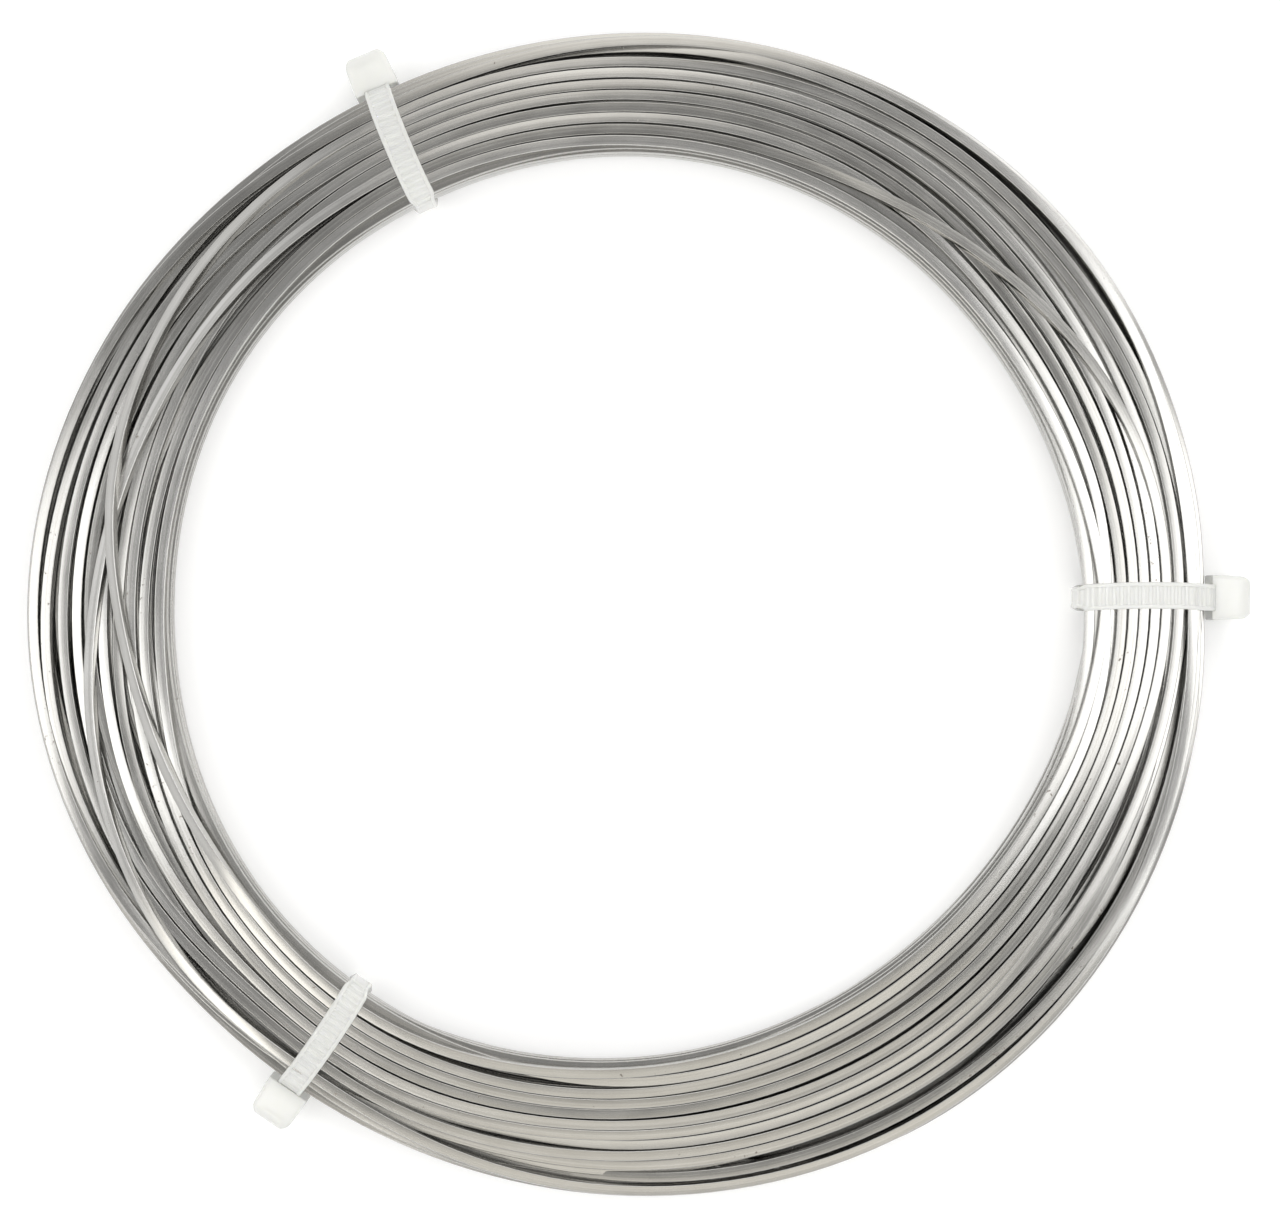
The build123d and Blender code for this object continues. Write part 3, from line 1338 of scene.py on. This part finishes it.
@dataclass
class CableTie:
    """One nylon tie: a ribbed strap closed round the coil, and its head with the cut tail in the slot."""

    spot: TieSpot
    loop: StrapLoop
    rib_pitch: float = 1.3
    rib_steps: int = 6
    rib_depth: float = 0.24
    smooth_depth: float = 0.08
    rib_facing: float = 0.35
    rail: float = 0.65
    rail_slope: float = 0.1
    bow: float = 0.4
    narrowing: float = 0.5
    narrow_from: float = 0.6
    edge: float = 0.18
    head_width: float = 8.2
    head_length: float = 8.6
    head_height: float = 7.2
    head_drop: float = 1.4
    head_standoff: float = -0.1
    head_corner: float = 0.8
    back_edge: float = 0.15
    neck_sunk: float = 1.3
    neck_inset: float = 1.0
    small_corner_share: float = 0.6
    shoulder: float = 2.4
    shoulder_run: float = 0.2
    shoulder_step: float = 0.06
    # Rings of the nose: how far behind the front, drawn in across, drawn in along, and share of the corner
    nose: tuple[Level, ...] = (
        (1.9, 0.2, 0.1, 1.0),
        (1.1, 0.4, 0.2, 1.0),
        (0.5, 0.8, 0.5, 1.0),
        (0.12, 1.15, 1.0, 0.9),
    )
    slot_lip: tuple[float, float] = (0.1, 1.3)
    slot_corner: float = 0.25
    slot_room: float = 0.4
    slot_extra_room: float = 0.3
    slot_depth: float = 1.6
    tail_recess: float = 0.3
    tail_sunk: float = 0.4
    tail_edge: float = 0.1
    sharp_angle: float = 32.0

    @property
    def back(self) -> float:
        """Place of the head's back, outwards from the loop's middle."""
        return self.loop.half_width + self.head_standoff + self.spot.head_shift

    def strap(self) -> tuple[np.ndarray, Faces]:
        """Makes the strap.

        Returns:
            Its points and faces, in the loop's own frame.
        """
        places, facing = self.loop.path(0.0, self.rib_pitch / self.rib_steps)
        count = len(places)
        in_groove = np.arange(count) % self.rib_steps < self.rib_steps / 2
        ribbed = in_groove & (np.abs(facing[:, 1]) > self.rib_facing)
        depth = np.where(ribbed, self.rib_depth, self.smooth_depth)
        inside = self.loop.thickness
        inwards = (-facing[:, 0] - self.narrow_from) / (1.0 - self.narrow_from)
        drawn_in = self.narrowing * smooth_step(inwards)
        over_top = np.clip(facing[:, 1], 0.0, 1.0) * (1.0 - (places[:, 0] / self.loop.half_width) ** 2)
        rings = []
        for place, normal, groove, less, over in zip(places, facing, depth, drawn_in, over_top):
            half = self.loop.width / 2 - less
            aside = self.bow * max(over, 0.0)
            profile = [
                (-half, self.edge),
                (-half + self.edge, 0.0),
                (-half + self.rail, 0.0),
                (-half + self.rail + self.rail_slope, groove),
                (half - self.rail - self.rail_slope, groove),
                (half - self.rail, 0.0),
                (half - self.edge, 0.0),
                (half, self.edge),
                (half, inside - self.edge),
                (half - self.edge, inside),
                (-half + self.edge, inside),
                (-half, inside - self.edge),
            ]
            (x, z), (out, up) = place, normal
            rings.append([(x - out * sunk, side + aside, z - up * sunk) for side, sunk in profile])
        around = len(rings[0])
        rings.append(rings[0])
        faces = tube_faces(count + 1, around)
        closed = [[corner % (count * around) for corner in face] for face in faces]
        return np.array(rings[:-1]).reshape(-1, 3), closed

    @staticmethod
    def rounded(x: float, half_y: float, half_z: float, corner: float, steps: int = 5) -> np.ndarray:
        """Draws a rounded rectangle that stands across X.

        Args:
            x: Where it stands.
            half_y: Half its width.
            half_z: Half its height.
            corner: Radius of its corners.
            steps: Steps round each corner.

        Returns:
            Its points.
        """
        points = []
        for quarter, (sign_y, sign_z) in enumerate(((1, 1), (-1, 1), (-1, -1), (1, -1))):
            for step in range(steps + 1):
                angle = math.radians(90.0 * quarter + 90.0 * step / steps)
                points.append(
                    (
                        x,
                        sign_y * (half_y - corner) + corner * math.cos(angle),
                        sign_z * (half_z - corner) + corner * math.sin(angle),
                    )
                )
        return np.array(points)

    def lofted(self, levels: list[Level]) -> tuple[np.ndarray, Faces]:
        """Makes a closed skin over rounded rectangles, level with the head.

        Args:
            levels: Place, half width, half height and corner radius of each rectangle in turn.

        Returns:
            Its points and faces, in the loop's own frame.
        """
        rings = [self.rounded(*level) for level in levels]
        faces = closed_tube_faces(len(rings), len(rings[0]))
        return np.concatenate(rings) - np.array([0.0, 0.0, self.head_drop]), faces

    def head(self) -> tuple[np.ndarray, Faces]:
        """Makes the head, lofted outwards and turned in at its slot.

        Returns:
            Its points and faces, in the loop's own frame.
        """
        back, front = self.back, self.back + self.head_height
        half_y, half_z = self.head_width / 2, self.head_length / 2
        slot_y = self.loop.width / 2 + self.slot_room
        slot_z = self.loop.thickness / 2 + self.slot_room + self.slot_extra_room
        corner = self.head_corner
        small = corner * self.small_corner_share
        neck = (self.loop.width / 2, half_z - self.neck_inset, small)
        stepped = back + self.shoulder + self.shoulder_run
        levels = [
            (back - self.neck_sunk, *neck),
            (back, *neck),
            (back, half_y - self.back_edge, half_z - self.back_edge, corner),
            (back + self.back_edge, half_y, half_z, corner),
            (back + self.shoulder, half_y, half_z, corner),
            (stepped, half_y - self.shoulder_step, half_z - self.shoulder_step, corner),
        ]
        for behind, less_y, less_z, share in self.nose:
            levels.append((front - behind, half_y - less_y, half_z - less_z, corner * share))
        levels += [
            (front, slot_y + self.slot_lip[0], slot_z + self.slot_lip[1], small),
            (front, slot_y, slot_z, self.slot_corner),
            (front - self.slot_depth, slot_y, slot_z, self.slot_corner),
        ]
        return self.lofted(levels)

    def tail(self) -> tuple[np.ndarray, Faces]:
        """Makes the cut end of the tail in the slot.

        Returns:
            Its points and faces, in the loop's own frame.
        """
        front = self.back + self.head_height
        end = front - self.tail_recess
        half_y, half_z = self.loop.width / 2, self.loop.thickness / 2
        levels = [
            (front - self.slot_depth - self.tail_sunk, half_y, half_z, self.edge),
            (end - self.tail_edge, half_y, half_z, self.edge),
            (end, half_y - self.tail_edge, half_z - self.tail_edge, self.edge),
        ]
        return self.lofted(levels)

    def placed(self, points: np.ndarray) -> np.ndarray:
        """Moves points from the loop's own frame to where the tie stands.

        Args:
            points: The points.

        Returns:
            The moved points.
        """
        leaned = points[:, :2] @ turning(self.spot.lean).T + np.array([self.loop.mean_radius, 0.0])
        return np.column_stack([leaned @ turning(self.spot.angle).T, points[:, 2] + self.loop.rise])

    def build(self, material: bpy.types.Material) -> bpy.types.Object:
        """Makes the tie's mesh and dresses it.

        Args:
            material: The nylon.

        Returns:
            The tie as a piece.
        """
        points: list[np.ndarray] = []
        faces: Faces = []
        for shape_points, shape_faces in (self.strap(), self.head(), self.tail()):
            first = sum(len(block) for block in points)
            points.append(shape_points)
            faces.extend([first + corner for corner in face] for face in shape_faces)
        mesh = metre_mesh(f"{self.spot.node}_moulding", self.placed(np.concatenate(points)), faces)
        mesh.shade_smooth()
        mesh.set_sharp_from_angle(angle=math.radians(self.sharp_angle))
        mesh.materials.append(material)
        return add_piece(mesh.name, mesh, self.spot.node)


@dataclass(frozen=True)
class SoftBox:
    """A soft lamp that faces the coil: its centre, width, length and radiance."""

    name: str
    centre: Triple
    size: tuple[float, float]
    radiance: float
    tint: Triple = (1.0, 1.0, 1.0)


@dataclass
class Studio:
    """Floor, soft light and the camera over the coil."""

    floor_height: float
    floor_half: float = 2500.0
    floor_colour: Colour = (0.86, 0.86, 0.86, 1.0)
    floor_glow: float = 0.26
    camera_centre: tuple[float, float] = (2.18, 0.36)
    camera_height: float = 640.0
    frame_width: float = 233.0
    frame_plane: float = 2.0
    sensor: float = 36.0
    sky_stops: Stops = ((0.0, 1.12), (0.66, 1.12), (0.97, 0.34))
    boxes: tuple[SoftBox, ...] = (
        SoftBox("right_softbox", (252.0, 22.0, 600.0), (335.0, 215.0), 2.7),
        SoftBox("far_right_softbox", (400.0, 400.0, 600.0), (200.0, 260.0), 1.8),
        SoftBox("left_softbox", (-280.0, -20.0, 600.0), (220.0, 200.0), 2.7),
        SoftBox("near_left_softbox", (-270.0, -310.0, 600.0), (200.0, 240.0), 2.4, (1.0, 0.97, 0.9)),
        SoftBox("far_softbox", (20.0, 380.0, 600.0), (380.0, 300.0), 1.05, (1.0, 0.97, 0.9)),
        SoftBox("near_softbox", (40.0, -230.0, 600.0), (190.0, 300.0), 0.85, (1.0, 0.95, 0.82)),
    )

    @staticmethod
    def background_ray(sheet: NodeSheet) -> Signal:
        """Tells the rays that show the background: from the camera, by reflection or through nylon.

        Args:
            sheet: The node tree that asks.

        Returns:
            1 for such a ray, and 0 for any other.
        """
        rays = [
            sheet.add("ShaderNodeLightPath", {}, {}, kind)
            for kind in ("Is Camera Ray", "Is Glossy Ray", "Is Transmission Ray")
        ]
        total = rays[0] + rays[1] + rays[2]
        return sheet.add("ShaderNodeClamp", {}, {"Value": total})

    def floor(self) -> None:
        """Lays the pale floor at the coil's lower face."""
        signs = ((-1.0, -1.0), (1.0, -1.0), (1.0, 1.0), (-1.0, 1.0))
        corners = np.array([(x * self.floor_half, y * self.floor_half, self.floor_height) for x, y in signs])
        mesh = metre_mesh("studio_floor", corners, [[0, 1, 2, 3]])
        made = bpy.data.materials.new("studio_floor")
        sheet = NodeSheet(made)
        matt = sheet.add("ShaderNodeBsdfDiffuse", {}, {"Color": self.floor_colour})
        fill = sheet.add("ShaderNodeEmission", {}, {"Strength": self.floor_glow})
        dark = sheet.add("ShaderNodeEmission", {}, {"Strength": 0.0})
        seen = sheet.add("ShaderNodeMixShader", {}, {0: self.background_ray(sheet), 1: dark, 2: fill})
        sheet.close(sheet.add("ShaderNodeAddShader", {}, {0: matt, 1: seen}))
        mesh.materials.append(made)
        plane = bpy.data.objects.new("studio_floor", mesh)
        bpy.context.scene.collection.objects.link(plane)

    def world(self) -> None:
        """Surrounds the coil with plain light, a little darker overhead, and a white background."""
        made = bpy.data.worlds.new("studio_light")
        bpy.context.scene.world = made
        sheet = NodeSheet(made)
        ray = sheet.add("ShaderNodeTexCoord", {}, {}, "Generated")
        height = sheet.add("ShaderNodeSeparateXYZ", {}, {0: ray}, "Z")
        level = sheet.ramp(height, self.sky_stops)
        light = sheet.add("ShaderNodeBackground", {}, {"Color": level, "Strength": 1.0})
        white = sheet.add("ShaderNodeBackground", {}, {"Color": (1.0, 1.0, 1.0, 1.0), "Strength": 1.0})
        camera = sheet.add("ShaderNodeLightPath", {}, {}, "Is Camera Ray")
        surface = sheet.add("ShaderNodeMixShader", {}, {0: camera, 1: light, 2: white})
        sheet.close(surface, "ShaderNodeOutputWorld")

    def lamps(self) -> None:
        """Hangs the soft boxes, each turned to the coil's centre."""
        for box in self.boxes:
            light = bpy.data.lights.new(box.name, "AREA")
            light.shape = "RECTANGLE"
            light.size, light.size_y = box.size[0] * MM, box.size[1] * MM
            light.color = box.tint
            light.energy = box.radiance * math.pi * light.size * light.size_y
            lamp = bpy.data.objects.new(box.name, light)
            centre = np.array(box.centre)
            lamp.location = (centre * MM).tolist()
            x, y, z = centre / np.linalg.norm(centre)
            lamp.rotation_euler = (0.0, math.acos(z), math.atan2(y, x))
            lamp.visible_camera = False
            bpy.context.scene.collection.objects.link(lamp)

    def camera(self) -> None:
        """Sets the camera straight above the coil, with +Y up in the picture."""
        data = bpy.data.cameras.new("camera")
        data.sensor_fit = "HORIZONTAL"
        data.sensor_width = self.sensor
        data.lens = self.sensor * (self.camera_height - self.frame_plane) / self.frame_width
        data.clip_start = 0.01
        camera = bpy.data.objects.new("camera", data)
        x, y = self.camera_centre
        camera.location = (x * MM, y * MM, self.camera_height * MM)
        bpy.context.scene.collection.objects.link(camera)
        bpy.context.scene.camera = camera

    def build(self) -> None:
        """Sets up the whole studio."""
        bpy.context.scene.view_settings.view_transform = "Standard"
        self.floor()
        self.world()
        self.lamps()
        self.camera()


def main() -> None:
    """Builds the coil, its ties and the studio in order."""
    logging.basicConfig(level=logging.INFO, format="%(name)s: %(message)s")
    loop = StrapLoop.from_frame()
    WireCoil(loop).build()
    nylon = NaturalNylonFinish().material()
    for tie in Tie:
        CableTie(tie.value, loop.at(tie)).build(nylon)
    Studio(floor_height=loop.floor).build()


if __name__ == "__main__":
    main()
